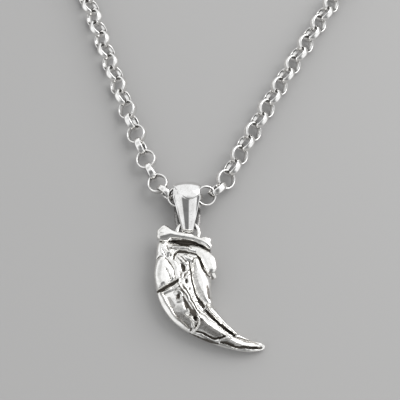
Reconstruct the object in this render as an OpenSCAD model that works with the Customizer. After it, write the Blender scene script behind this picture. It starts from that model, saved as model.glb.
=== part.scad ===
// A raptor claw pendant on its belcher chain, all in silver, laid flat on a table.
// The claw's own drawing plane has its origin under the bail's eye, with the tip towards -Y.

/* [Claw] */
// Height of the claw's crown above the table
claw_height = 5; // [4.6:0.1:5.4]
// Depth of the deepest cracks in the casting
crack_deep = 0.8; // [0.3:0.1:1]
// Height of the raised ridges and lumps
ridge_high = 0.4; // [0.2:0.1:0.6]
// Thickness of the small bone across the top
bone_d = 1.6; // [1.4:0.1:1.7]
// Diameter of the big knob at the collar's right end
knob_d = 3.2; // [2.8:0.1:3.5]

/* [Loop ring] */
// Outside diameter of the ring behind the bone
ring_d = 6; // [5.9:0.1:6.2]
// Wire of that ring
ring_wire = 1.05; // [0.9:0.05:1.1]

/* [Bail] */
// Width of the bail at its eye
bail_w = 6.2; // [5.8:0.1:6.6]
// Width of the bail at its foot, inside the ring
bail_foot_w = 2.9; // [2.6:0.1:3]
// Outside diameter of the bail's eye, which is also the pendant's height on the table
bail_eye_d = 7; // [7:0.1:7.4]
// Thickness of the bail's band
bail_wall = 0.85; // [0.7:0.05:0.85]

/* [Chain] */
// Outside diameter of a link
link_d = 4.8; // [4.75:0.05:4.85]
// Thickness of a link's wire, from inside to outside
link_wall = 0.44; // [0.4:0.02:0.44]
// Width of a link's wire, along the link's axis
link_w = 1.1; // [1:0.05:1.1]
// Spacing of the links when the chain is pulled straight
link_step = 3.57; // [3.5:0.01:3.58]
// Diameter of the clasp's barrel
clasp_d = 3.8; // [3:0.1:4.2]

/* [Hidden] */

// Smooth curve through b and c, at the share f of the way between them
function smooth(a, b, c, d, f) =
    0.5 * (2 * b + (c - a) * f + (2 * a - 5 * b + 4 * c - d) * f * f + (3 * b - a - 3 * c + d) * f * f * f);

// Chain route, round the whole loop from the bail's middle and back: x, y
route = [
    [0, -0.1], [4.3, 0.3], [7.5, 2.6], [9.6, 5.8], [12.8, 12], [18.3, 22], [23.9, 32], [29.8, 42],
    [35.8, 52], [47, 71], [57.5, 91], [65.5, 114], [68, 139], [63, 163], [49, 184], [26, 197],
    [1, 199], [-22, 191], [-39, 173], [-47.5, 149], [-47, 122], [-41.5, 97], [-33.5, 74],
    [-25.8, 53.7], [-20.7, 39.5], [-15.6, 25.5], [-10.6, 12], [-7.8, 5.2], [-4.4, 0.6]
];
// Roll of every second link about the chain: link number, degrees from flat
roll_at = [
    [-62, 90], [-24, 48], [-12, 45], [-10, 41], [-8, 33], [-6, 22], [-4, 11], [-3, 8], [-2, 6], [-1, 4],
    [0, 9], [1, 15], [2, 18], [3, 26], [4, 33], [5, 38], [7, 43], [14, 44], [24, 42], [62, 90]
];
// How far the chain is lifted towards the bail's eye: links from the bail, share
lift_at = [[-4.5, 0], [-3, 0.15], [-2, 0.6], [-1, 1], [1, 1], [2, 0.6], [3, 0.15], [4.5, 0]];
// Slack that is taken up in the bends beside the bail: links from the bail, mm
slack_at = [
    [-4.5, -1.2], [-3.5, -1.1], [-2.5, -1], [-1.5, -0.53], [-0.5, -0.1],
    [0.5, 0.1], [1.5, 0.5], [2.5, 0.9], [3.5, 1.1]
];
slack_total = 2.3;
// The chain hangs a little off the middle of the bail
chain_shift = -0.45;

corners = len(route);
fine = 24;
curve = [
    for (i = [0:corners - 1], j = [0:fine - 1])
        smooth(route[(i + corners - 1) % corners], route[i], route[(i + 1) % corners],
            route[(i + 2) % corners], j / fine)
];
curve_count = len(curve);
function hop(i) = norm(curve[(i + 1) % curve_count] - curve[i % curve_count]);
run = [for (i = 0, s = 0; i <= curve_count; s = s + hop(i), i = i + 1) s];
loop_len = run[curve_count];
x_along = [for (i = [0:curve_count]) [run[i], curve[i % curve_count].x]];
y_along = [for (i = [0:curve_count]) [run[i], curve[i % curve_count].y]];
function route_point(s) =
    let (u = s - loop_len * floor(s / loop_len))
    [lookup(u, x_along), lookup(u, y_along)];

// Slots round the loop, numbered from the bail: an even count, so that neighbours stay crossed
slots = 2 * round((loop_len + slack_total) / link_step / 2);
step = (loop_len + slack_total) / slots;
clasp_slots = 4;
last_link = slots / 2 - clasp_slots / 2 - 1;

link_r = link_d / 2;
eye_z = bail_eye_d / 2;
function stands(roll) = link_r * abs(sin(roll)) + link_w / 2 * abs(cos(roll));
function lying_z(k) = max(stands(lookup(k, roll_at)), stands(lookup(k, roll_at) + 90));
function link_z(k) = lying_z(k) + (eye_z - lying_z(k)) * lookup(k - 0.5, lift_at);
function link_s(k) = (k - 0.5) * step - lookup(k - 0.5, slack_at) + chain_shift;
function link_place(k) = concat(route_point(link_s(k)), link_z(k));
function unit(v) = v / norm(v);
// Where a link lies and how it is turned, as the columns of a matrix
function link_matrix(k) =
    let (
        rise = (link_z(k + 1) - link_z(k - 1)) / 2,
        ahead = route_point(link_s(k + 0.5)) - route_point(link_s(k - 0.5)),
        along = unit([ahead.x, ahead.y, rise]),
        side = unit(cross([0, 0, 1], along)),
        up = cross(along, side),
        roll = lookup(k, roll_at) + (k % 2 == 0 ? 0 : 90),
        across = cos(roll) * side + sin(roll) * up,
        axis = cross(along, across),
        at = link_place(k)
    )
    [
        [along.x, across.x, axis.x, at.x],
        [along.y, across.y, axis.y, at.y],
        [along.z, across.z, axis.z, at.z],
        [0, 0, 0, 1]
    ];

// Sections down the claw, each from the outer to the inner edge:
// outer x, outer y, inner x, inner y, crown's share of claw_height, crown's place, edge height, base height
sections = [
    [-5.9, -10.1, 3.6, -10.4, 0.76, 0.50, 2.4, 0.2],
    [-6.6, -11.1, 5.0, -12.2, 0.93, 0.48, 2.9, 0],
    [-6.7, -12.8, 5.8, -14.4, 0.98, 0.45, 3.1, 0],
    [-6.8, -15.2, 5.6, -16.6, 1.00, 0.42, 3.1, 0],
    [-7.1, -18.2, 5.5, -19.2, 1.00, 0.42, 3.1, 0],
    [-6.6, -21.4, 5.5, -21.7, 1.00, 0.44, 3.1, 0],
    [-5.9, -24.0, 5.7, -23.9, 1.00, 0.48, 3.0, 0],
    [-4.7, -26.3, 6.2, -25.6, 0.98, 0.52, 2.9, 0],
    [-3.0, -28.4, 7.1, -26.9, 0.95, 0.56, 2.8, 0],
    [-0.7, -30.2, 8.3, -28.4, 0.90, 0.58, 2.6, 0],
    [2.6, -32.0, 9.8, -29.9, 0.84, 0.58, 2.5, 0],
    [6.0, -33.3, 11.2, -31.1, 0.78, 0.58, 2.3, 0],
    [9.3, -34.2, 12.8, -31.9, 0.70, 0.55, 2.1, 0],
    [12.9, -34.8, 14.6, -32.5, 0.56, 0.50, 1.8, 0],
    [15.4, -34.6, 16.1, -32.8, 0.46, 0.50, 1.5, 0.2],
    [16.8, -34.2, 17.1, -33.2, 0.30, 0.50, 1.0, 0.5]
];
// The crown falls to a keel's slopes, and the edges are rounder below than above
keel = 0.18;
round_top = 0.42;
round_back = 0.95;

// Cracks and slots: depth's share, half width, points
cracks = [
    [1.6, 0.80, [[-3.6, -10.9], [-1.9, -10.9], [-0.2, -11.1], [1.6, -11.4]]],
    [1.0, 0.45, [[1.6, -11.5], [3.3, -12], [4.4, -12.6], [5.4, -13.2]]],
    [1.0, 0.45, [[-2.8, -14.9], [-2.5, -13.9], [-1.8, -13.3], [-0.4, -13.4], [1, -13.6], [2.3, -14]]],
    [1.1, 0.50, [[2.3, -14], [2.9, -14.9], [3.3, -15.9], [3.6, -17], [4.1, -17.8], [5.1, -18.9]]],
    [1.2, 0.50, [[-6.9, -22.3], [-5.8, -21.8], [-4.5, -21.3], [-3.1, -20.6], [-2.1, -20]]],
    [0.6, 0.40, [[0.8, -16], [1, -17.8], [1.2, -19.6], [1.7, -21.6], [2.4, -23.3], [3.2, -24.6]]],
    [1.1, 0.45, [[3.7, -25.9], [5.2, -27.3], [6.7, -28.8], [8.4, -30.1], [10.4, -31.5]]],
    [0.3, 0.35, [[-4.7, -14.9], [-3.9, -15.8], [-3.3, -17.3], [-2.9, -18.6], [-2.8, -19.7]]],
    [0.4, 0.35, [[-2.5, -15], [-1.9, -16.9], [-1.6, -18.4], [-1.2, -20]]],
    [0.7, 0.35, [[2.3, -30.8], [4.3, -31.5], [5.7, -32.1], [6.6, -32.4]]],
    [0.9, 0.40, [[6.6, -32.5], [8.2, -33], [10.2, -33.5], [12.2, -33.8], [14.2, -33.8], [16.2, -33.6]]],
    [0.6, 0.35, [[6.6, -32.4], [7.3, -31.9], [8.4, -31.6]]]
];
// Ridges: height's share, half width, points
ridges = [
    [1.0, 0.60, [[-1.6, -20.4], [0.1, -22.5], [1.4, -24.6], [4.6, -28.8], [6.6, -30.4], [9, -31.8]]],
    [1.4, 0.75, [[-5.4, -22.9], [-4.4, -24.7], [-3.3, -26.6], [-1.7, -28.3], [0, -29.8], [1.6, -30.9]]],
    [0.6, 0.50, [[-5.4, -22.4], [-4.1, -22], [-2.5, -21.4], [-1.8, -20.9]]],
    [0.6, 0.50, [[-2.6, -15.6], [-2.2, -17], [-2, -18.5], [-1.9, -20]]],
    [1.2, 0.40, [[0.8, -25.9], [0.3, -27.3], [1.5, -28.2], [2.3, -28.8]]],
    [1.2, 0.40, [[2.7, -27.9], [2.8, -28.9], [1.8, -30.8]]],
    [0.9, 0.40, [[-2.3, -23.5], [-1.6, -22.7], [-0.8, -23.4], [-1.2, -24.4]]],
    [0.8, 0.50, [[7.2, -32.5], [8.4, -32.2], [10.4, -32.7], [12.6, -33.2], [15.9, -33.5]]]
];
// Smooth bulges, such as the rib and the left lobe: height, half width, points
swells = [
    [0.9, 1.20, [[2.3, -15.6], [2.4, -16.6], [3, -18]]],
    [0.9, 2.10, [[3.6, -19.8], [4, -21.6], [4.5, -22.8]]],
    [0.6, 0.70, [[4.5, -25], [6, -26.9], [7.6, -28.4], [9.3, -29.9], [11, -31.3]]],
    [0.6, 2.10, [[-5.3, -16.4], [-5.5, -18.6], [-5.3, -20]]],
    [0.6, 1.60, [[-5.6, -11.8], [-5.3, -13.1]]],
    [0.5, 0.55, [[-2.8, -12.3], [-1, -12.5], [0.6, -12.6]]],
    [-0.5, 1.30, [[-3.5, -25], [-2.3, -26.7], [-0.7, -28.3], [0.9, -29.5]]]
];
// Lumps (up) and pits (down): height, x, y, reach in x, reach in y
lumps = [
    [0.3, -3.6, -22.9, 1.6, 1.2],
    [-0.4, -1.6, -23.4, 0.6, 0.7],
    [-0.6, -0.4, -16.9, 0.8, 1.1],
    [-0.5, 0, -19.9, 0.6, 0.7],
    [-0.4, -0.2, -25.7, 1.0, 1.2],
    [-0.6, 2, -27.6, 0.7, 0.8],
    [0.4, -0.8, -15.2, 0.8, 0.7]
];

section_count = len(sections);
rows_between = 4;
rows = [
    for (i = [0:section_count - 2], j = [0:rows_between - 1])
        smooth(sections[max(i - 1, 0)], sections[i], sections[i + 1],
            sections[min(i + 2, section_count - 1)], j / rows_between),
    sections[section_count - 1]
];
row_count = len(rows);
around = 60;

function distance_to(p, a, b) =
    let (share = max(0, min(1, (p - a) * (b - a) / ((b - a) * (b - a)))))
    norm(p - a - share * (b - a));
function reach_of(p, points) = min([for (i = [0:len(points) - 2]) distance_to(p, points[i], points[i + 1])]);
function fade(u) = u < 1 ? (1 - u * u) * (1 - u * u) : 0;
function stroke_sum(p, table) =
    [for (line = table) line[0] * fade(reach_of(p, line[2]) / line[1])] * [for (line = table) 1];
function dome(u) = max(0, 1 - u * u);
function swell_sum(p) =
    [for (line = swells) line[0] * dome(reach_of(p, line[2]) / line[1])] * [for (line = swells) 1];
function lump_sum(p) =
    [for (l = lumps) l[0] * fade(norm([(p.x - l[1]) / l[3], (p.y - l[2]) / l[4]]))] * [for (l = lumps) 1];
function relief(p) = ridge_high * stroke_sum(p, ridges) + swell_sum(p) + lump_sum(p)
    - crack_deep * stroke_sum(p, cracks);

// One point of the claw's skin: the front from 0 to 180 degrees, the back beyond
function skin(row, angle) =
    let (
        wide = sign(cos(angle)) * pow(abs(cos(angle)), 0.85),
        t = pow((1 - wide) / 2, ln(row[5]) / ln(0.5)),
        p = [row[0] + (row[2] - row[0]) * t, row[1] + (row[3] - row[1]) * t],
        full = pow(abs(sin(angle)), sin(angle) > 0 ? round_top : round_back),
        top = full * (1 - keel * pow(abs(wide), 1.3)),
        front = row[6] + (row[4] * claw_height - row[6]) * top + relief(p) * min(1, 1.2 * full),
        back = max(row[7], row[6] - (row[6] - row[7] + 0.15) * full)
    )
    [p.x, p.y, sin(angle) > 0 ? max(front, row[7] + 0.6) : back];

module claw_body() {
    ring_points = [for (r = rows, a = [0:around - 1]) skin(r, a * 360 / around)];
    head = [for (a = [0:around - 1]) around - 1 - a];
    tail = [for (a = [0:around - 1]) (row_count - 1) * around + a];
    sides = [
        for (i = [0:row_count - 2], a = [0:around - 1])
            let (b = (a + 1) % around, here = i * around, next = here + around)
            each [[here + a, here + b, next + b], [here + a, next + b, next + a]]
    ];
    polyhedron(points = ring_points, faces = concat([head], sides, [tail]));
}

module ball(at, d) {
    translate(at) sphere(d = d, $fn = 18);
}

// One rounded form over all its balls: x, y, z, diameter
module blob(balls) {
    hull()
        for (b = balls) ball([b[0], b[1], b[2]], b[3]);
}

// A bone or a process: balls joined one after the other
module joined_balls(row) {
    for (i = [0:len(row) - 2]) blob([row[i], row[i + 1]]);
}

bone_z = claw_height + 0.2;
ring_at = [0.25, -8.5, 2.6];

module cross_bone() {
    joined_balls([
        [-3.6, -9.4, bone_z - 0.1, bone_d * 1.3],
        [-2.2, -9.7, bone_z, bone_d],
        [-0.4, -10, bone_z, bone_d * 0.85],
        [1.6, -10.4, bone_z, bone_d * 0.85],
        [3.4, -11, bone_z - 0.1, bone_d * 0.9],
        [4.6, -11.7, bone_z - 0.2, bone_d * 0.95],
        [5.1, -12.2, bone_z - 0.3, bone_d * 0.85]
    ]);
    blob([
        [-5, -8.3, bone_z - 0.1, bone_d * 1.25],
        [-5.7, -9, bone_z - 0.2, bone_d * 1.25],
        [-3.6, -9.4, bone_z - 0.1, bone_d * 1.3]
    ]);
    blob([
        [-5.7, -9.9, bone_z - 0.3, bone_d * 1.3],
        [-4.4, -10.1, bone_z - 0.3, bone_d * 1.1],
        [-3.6, -9.4, bone_z - 0.1, bone_d * 1.3]
    ]);
    blob([
        [4.1, -10.7, bone_z - 0.2, bone_d * 0.95],
        [4.9, -10.9, bone_z - 0.3, bone_d * 0.95],
        [4.6, -11.7, bone_z - 0.2, bone_d * 0.95]
    ]);
    joined_balls([[-5, -10.2, bone_z - 0.8, bone_d * 1.15], [-4.8, -11.2, 3, bone_d * 1.5]]);
    joined_balls([[4.9, -11.9, bone_z - 0.8, bone_d * 0.9], [4.3, -12.6, 3, bone_d * 1.3]]);
}

// The smooth band that swells into the knob, flatter than it is wide, and the lump below it
knob_z = claw_height - 0.9;
knob_flat = 0.6;
module knob() {
    translate([0, 0, knob_z]) scale([1, 1, knob_flat]) {
        joined_balls([
            [0.9, -12.4, 0, knob_d * 0.4],
            [2.5, -12.9, 0.2, knob_d * 0.55],
            [4, -13.9, 0.2, knob_d * 0.75],
            [5, -15.3, 0, knob_d]
        ]);
        blob([[5, -15.3, 0, knob_d], [5.3, -16.2, 0.1, knob_d * 0.9], [5.5, -17, 0.2, knob_d * 0.78]]);
    }
    joined_balls([[5, -16, 2.6, knob_d * 0.8], [5.4, -17.9, 2.4, knob_d * 0.7], [6, -18.4, 2.3, knob_d * 0.5]]);
}

module loop_ring() {
    translate(ring_at)
        rotate_extrude($fn = 40) translate([(ring_d - ring_wire) / 2, 0]) circle(d = ring_wire, $fn = 12);
}

bail_foot = [0.2, -7.2, 2.6];
bail_foot_d = 1.5 + 2 * bail_wall;
bail_crown = 0.45;

// A disc across X with a flat rim and a bevel each side
module crowned_disc(d, w, drop) {
    rotate([0, 90, 0])
        rotate_extrude($fn = 60)
            polygon([
                [0, -w / 2], [d / 2 - drop, -w / 2], [d / 2, -w * 0.2],
                [d / 2, w * 0.2], [d / 2 - drop, w / 2], [0, w / 2]
            ]);
}

// The back of the band lies under the front and stays wider than it, almost down to the ring
bail_back = [
    [0.48, -0.5], [0.48, -4.6], [0.42, -6.3], [0.22, -7.6],
    [-0.16, -7.6], [-0.34, -6.3], [-0.44, -4.6], [-0.48, -0.5]
];
foot_reach = norm([bail_foot.y, bail_foot.z - eye_z]);
bail_lean = asin((bail_eye_d - bail_foot_d) / 2 / foot_reach) - atan((eye_z - bail_foot.z) / -bail_foot.y);
module back_plate() {
    translate([0, 0, eye_z])
        rotate([-bail_lean, 0, 0])
            translate([0, 0, -eye_z])
                linear_extrude(bail_wall) polygon([for (p = bail_back) [p.x * bail_w, p.y]]);
}

module bail_body() {
    back_plate();
    difference() {
        hull() {
            translate([0, 0, eye_z]) crowned_disc(bail_eye_d, bail_w, bail_crown);
            translate(bail_foot) crowned_disc(bail_foot_d, bail_foot_w, bail_crown / 2);
        }
        hull() {
            translate([-bail_w, 0, eye_z])
                rotate([0, 90, 0]) cylinder(d = bail_eye_d - 2 * bail_wall, h = 2 * bail_w, $fn = 60);
            translate([-bail_w, bail_foot.y, bail_foot.z])
                rotate([0, 90, 0]) cylinder(d = bail_foot_d - 2 * bail_wall, h = 2 * bail_w, $fn = 60);
        }
    }
}

// One link about Z: flat inside, bevelled outside
module link() {
    inside = link_r - link_wall;
    bevel = link_wall * 0.35;
    rotate_extrude($fn = 64)
        polygon([
            [inside, -link_w / 2], [link_r - bevel, -link_w / 2], [link_r, -link_w / 4],
            [link_r, link_w / 4], [link_r - bevel, link_w / 2], [inside, link_w / 2]
        ]);
}

module links(first, last) {
    for (k = [first:last]) multmatrix(link_matrix(k)) link();
}

// The clasp's two ring places, and its barrel between them
clasp_a = link_place(last_link + 1);
clasp_b = link_place(-last_link - 1);
clasp_spare = 0.2;
clasp_len = norm(clasp_b - clasp_a) + clasp_spare;
clasp_turn = atan2(clasp_b.y - clasp_a.y, clasp_b.x - clasp_a.x);
clasp_wire = 0.6;

module clasp_barrel(len) {
    rotate([0, 90, 0])
        rotate_extrude($fn = 48)
            polygon([
                [0, -len / 2], [clasp_d * 0.28, -len / 2], [clasp_d / 2, -len * 0.3],
                [clasp_d / 2, len * 0.3], [clasp_d * 0.28, len / 2], [0, len / 2]
            ]);
}

// A ring that stands across the flat link next to it
module end_ring() {
    rotate([90, 0, 0])
        rotate_extrude($fn = 48) translate([link_r - clasp_wire / 2, 0]) circle(d = clasp_wire, $fn = 24);
}

module clasp_body() {
    translate((clasp_a + clasp_b) / 2)
        rotate([0, 0, clasp_turn]) {
            clasp_barrel(clasp_len - 2 * link_r + clasp_wire);
            translate([-clasp_len / 2, 0, 0]) end_ring();
            translate([clasp_len / 2, 0, 0]) end_ring();
        }
}

// The whole necklace is centred over the origin
x_reach = [min([for (p = curve) p.x]) - link_r, max([for (p = curve) p.x]) + link_r];
y_reach = [-34.7, max([for (p = curve) p.y]) + link_r];
home = -[(x_reach[0] + x_reach[1]) / 2, (y_reach[0] + y_reach[1]) / 2, 0];

module claw() {
    color("silver") translate(home) {
        claw_body();
        cross_bone();
        knob();
        loop_ring();
    }
}

module bail() {
    color("gainsboro") translate(home) bail_body();
}

module chain_left() {
    color("silver") translate(home) links(-last_link, 0);
}

module chain_right() {
    color("lightgray") translate(home) links(1, last_link);
}

module clasp() {
    color("silver") translate(home) clasp_body();
}

claw();
bail();
chain_left();
chain_right();
clasp();
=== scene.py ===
import math
import random

import bmesh
import bpy
from mathutils import Matrix, Vector, noise


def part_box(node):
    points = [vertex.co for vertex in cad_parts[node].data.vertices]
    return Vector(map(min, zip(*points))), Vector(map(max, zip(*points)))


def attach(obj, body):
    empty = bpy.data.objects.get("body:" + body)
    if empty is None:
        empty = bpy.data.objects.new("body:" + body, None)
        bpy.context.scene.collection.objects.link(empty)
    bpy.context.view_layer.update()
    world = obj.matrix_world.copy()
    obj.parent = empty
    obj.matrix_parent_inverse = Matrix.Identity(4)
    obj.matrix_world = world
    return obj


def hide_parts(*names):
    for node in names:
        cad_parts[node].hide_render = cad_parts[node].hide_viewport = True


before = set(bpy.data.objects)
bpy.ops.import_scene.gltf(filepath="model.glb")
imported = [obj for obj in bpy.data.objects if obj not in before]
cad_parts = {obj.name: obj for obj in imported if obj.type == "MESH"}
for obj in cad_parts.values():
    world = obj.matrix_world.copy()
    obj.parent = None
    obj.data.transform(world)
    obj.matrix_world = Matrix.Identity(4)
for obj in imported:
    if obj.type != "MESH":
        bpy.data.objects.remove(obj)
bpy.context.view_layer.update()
mm = 0.001
sameSpot = 0.0001 * mm  # corners closer than this are one
seed = 7  # turns the links and wavers the strokes in the same way each time
random.seed(seed)
noise.seed_set(seed)

# The pendant's own plane: the eye of the bail stands over its origin, and the tip points to -Y
bailEyeDiameter = 7.0
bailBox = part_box("bail")
home = Vector(((bailBox[0].x + bailBox[1].x) / 2, bailBox[1].y - bailEyeDiameter / 2 * mm, 0))


def place(x, y, z):
    return home + Vector((x, y, z)) * mm


def smoothCurve(a, b, c, d, f):
    # the curve through b and c, at the share f of the way between them
    bend = (2 * a - 5 * b + 4 * c - d) * f * f + (3 * b - a - 3 * c + d) * f ** 3
    return 0.5 * (2 * b + (c - a) * f + bend)


def lookUp(table, x):
    # straight lines between the rows of a table of pairs
    if x <= table[0][0]:
        return table[0][1]
    for (x0, y0), (x1, y1) in zip(table, table[1:]):
        if x <= x1:
            return y0 + (y1 - y0) * (x - x0) / (x1 - x0)
    return table[-1][1]


def fade(u):
    # a soft bump: 1 at the middle, 0 from u = 1
    return (1 - u * u) ** 2 if u < 1 else 0.0


def clamp(x, low=0.0, high=1.0):
    return max(low, min(high, x))


def merge(bm):
    bmesh.ops.remove_doubles(bm, verts=bm.verts, dist=sameSpot)


def fullTurn(bm, edges, axis, steps):
    # a closed ring or a turned shape, with its middle at the origin
    bmesh.ops.spin(bm, geom=edges, cent=(0, 0, 0), axis=axis, angle=2 * math.pi, steps=steps,
                   use_merge=True)


def wireRing(bm, radius, wire, around, steps):
    # a ring of round wire in an empty bmesh, flat in X and Y, with its middle at the origin
    out = Matrix.Translation((radius * mm, 0, 0)) @ Matrix.Rotation(math.pi / 2, 4, "X")
    bmesh.ops.create_circle(bm, segments=around, radius=wire / 2 * mm, matrix=out)
    fullTurn(bm, bm.edges[:], (0, 0, 1), steps)


def addTo(bm, part):
    # a finished bmesh joins another one
    mesh = bpy.data.meshes.new("part")
    part.to_mesh(mesh)
    part.free()
    bm.from_mesh(mesh)
    bpy.data.meshes.remove(mesh)


def finishPiece(name, bm, material):
    bmesh.ops.recalc_face_normals(bm, faces=bm.faces)
    mesh = bpy.data.meshes.new(name)
    bm.to_mesh(mesh)
    bm.free()
    piece = bpy.data.objects.new(name, mesh)
    bpy.context.scene.collection.objects.link(piece)
    mesh.materials.append(material)
    for face in mesh.polygons:
        face.use_smooth = True
    return piece


def applyModifiers(piece):
    bpy.context.view_layer.update()
    done = bpy.data.meshes.new_from_object(piece.evaluated_get(bpy.context.evaluated_depsgraph_get()))
    piece.modifiers.clear()
    piece.data = done


# Silver: polished all over, dark where the metal is oxidised in the hollows, and dark where shade is
# painted on: the chain links' undersides and some of the claw's painted strokes
silver = {
    # the mark at which the oxide and the painted shade start to darken the metal, and the one at which they
    # cover it
    "castSilver": {
        "colour": (0.93, 0.92, 0.90), "shade": (0.80, 0.79, 0.76), "oxideAndShade": (0.11, 0.098, 0.085),
        "rough": (0.07, 0.2), "oxideRough": 0.5, "mottle": 900, "grain": 5200, "grainHeight": 0.0000045,
        "darkening": (0.57, 0.88),
    },
    "polishedSilver": {
        "colour": (0.90, 0.895, 0.885), "shade": (0.79, 0.78, 0.765), "oxideAndShade": (0.08, 0.075, 0.07),
        "rough": (0.05, 0.13), "oxideRough": 0.4, "mottle": 500, "grain": 3500, "grainHeight": 0.000002,
        "darkening": (0.45, 0.95),
    },
    "chainSilver": {
        "colour": (0.94, 0.93, 0.915), "shade": (0.82, 0.81, 0.79), "oxideAndShade": (0.10, 0.095, 0.09),
        "rough": (0.07, 0.18), "oxideRough": 0.4, "mottle": 1200, "grain": 4000, "grainHeight": 0.0000025,
        "darkening": (0.45, 0.95),
    },
}
# the noise that all three share: its detail, and the range of it that is used
unevenness = {
    "raggedDetail": 4, "raggedRange": (0.3, 0.7), "raggedBy": 0.06,
    "mottleDetail": 5, "mottleRange": (0.35, 0.7), "grainDetail": 6,
    "glossFiner": 1.7, "glossDetail": 6, "glossRange": (0.3, 0.75),
}


def silverMaterial(name):
    look = silver[name]
    material = bpy.data.materials.new(name)
    material.use_nodes = True
    tree = material.node_tree
    shader = tree.nodes["Principled BSDF"]
    shader.inputs["Metallic"].default_value = 1.0

    def node(kind, **settings):
        made = tree.nodes.new(kind)
        for key, value in settings.items():
            setattr(made, key, value)
        return made

    where = node("ShaderNodeTexCoord")

    def noiseAt(scale, detail):
        made = node("ShaderNodeTexNoise")
        made.inputs["Scale"].default_value = scale
        made.inputs["Detail"].default_value = detail
        tree.links.new(where.outputs["Object"], made.inputs["Vector"])
        return made.outputs["Fac"]

    def remap(value, fromLow, fromHigh, toLow, toHigh):
        made = node("ShaderNodeMapRange", interpolation_type="SMOOTHSTEP")
        ends = {"From Min": fromLow, "From Max": fromHigh, "To Min": toLow, "To Max": toHigh}
        for socket, number in ends.items():
            made.inputs[socket].default_value = number
        tree.links.new(value, made.inputs["Value"])
        return made.outputs["Result"]

    def mixColour(share, a, b):
        made = node("ShaderNodeMix", data_type="RGBA")
        tree.links.new(share, made.inputs["Factor"])
        for socket, colour in ((made.inputs[6], a), (made.inputs[7], b)):
            if isinstance(colour, tuple):
                socket.default_value = (*colour, 1)
            else:
                tree.links.new(colour, socket)
        return made.outputs[2]

    def mixNumber(share, a, b):
        made = node("ShaderNodeMix")
        tree.links.new(share, made.inputs["Factor"])
        tree.links.new(a, made.inputs[2])
        made.inputs[3].default_value = b
        return made.outputs[0]

    # the hollows and the painted shade are marked on the mesh; noise breaks up the edge of the oxide and of
    # the painted shade
    hollowAndShade = node("ShaderNodeAttribute", attribute_name="hollowAndShade")
    ragged = node("ShaderNodeMath", operation="ADD")
    by = unevenness["raggedBy"]
    edge = remap(noiseAt(look["grain"], unevenness["raggedDetail"]), *unevenness["raggedRange"], -by, by)
    tree.links.new(hollowAndShade.outputs["Fac"], ragged.inputs[0])
    tree.links.new(edge, ragged.inputs[1])
    oxideAndShade = remap(ragged.outputs[0], *look["darkening"], 0, 1)

    mottle = remap(noiseAt(look["mottle"], unevenness["mottleDetail"]), *unevenness["mottleRange"], 0, 1)
    metal = mixColour(mottle, look["colour"], look["shade"])
    tree.links.new(mixColour(oxideAndShade, metal, look["oxideAndShade"]), shader.inputs["Base Color"])
    finer = noiseAt(look["mottle"] * unevenness["glossFiner"], unevenness["glossDetail"])
    gloss = remap(finer, *unevenness["glossRange"], *look["rough"])
    tree.links.new(mixNumber(oxideAndShade, gloss, look["oxideRough"]), shader.inputs["Roughness"])

    bump = node("ShaderNodeBump")
    bump.inputs["Distance"].default_value = look["grainHeight"]
    tree.links.new(noiseAt(look["grain"], unevenness["grainDetail"]), bump.inputs["Height"])
    tree.links.new(bump.outputs["Normal"], shader.inputs["Normal"])
    return material


castSilver = silverMaterial("castSilver")
polishedSilver = silverMaterial("polishedSilver")
chainSilver = silverMaterial("chainSilver")


def markHollowsAndShade(piece, passes, reach, insideExtra=0.0, underShadeExtra=0.0, underBelow=0.3):
    # 0.5 on an even surface, towards 1 in a hollow and 0 on an edge. reach is the depth in mm that counts
    # as full; the extras are added on inner faces, and as painted shade on faces whose normal rises less
    # than underBelow
    bm = bmesh.new()
    bm.from_mesh(piece.data)
    bm.normal_update()
    start = [v.co.copy() for v in bm.verts]
    normals = [v.normal.copy() for v in bm.verts]
    for _ in range(passes):
        bmesh.ops.smooth_vert(bm, verts=bm.verts, factor=0.5,
                              use_axis_x=True, use_axis_y=True, use_axis_z=True)
    depths = [(v.co - a).dot(n) / mm for v, a, n in zip(bm.verts, start, normals)]
    bm.free()
    if insideExtra:
        inner = piece.data.attributes["inside"].data
        depths = [d + mark.value * insideExtra for d, mark in zip(depths, inner)]
    depths = [d + underShadeExtra * max(0, underBelow - n.z) for d, n in zip(depths, normals)]
    marks = piece.data.attributes.new(name="hollowAndShade", type="FLOAT", domain="POINT")
    marks.data.foreach_set("value", [clamp(0.5 + 0.5 * d / reach) for d in depths])


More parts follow.
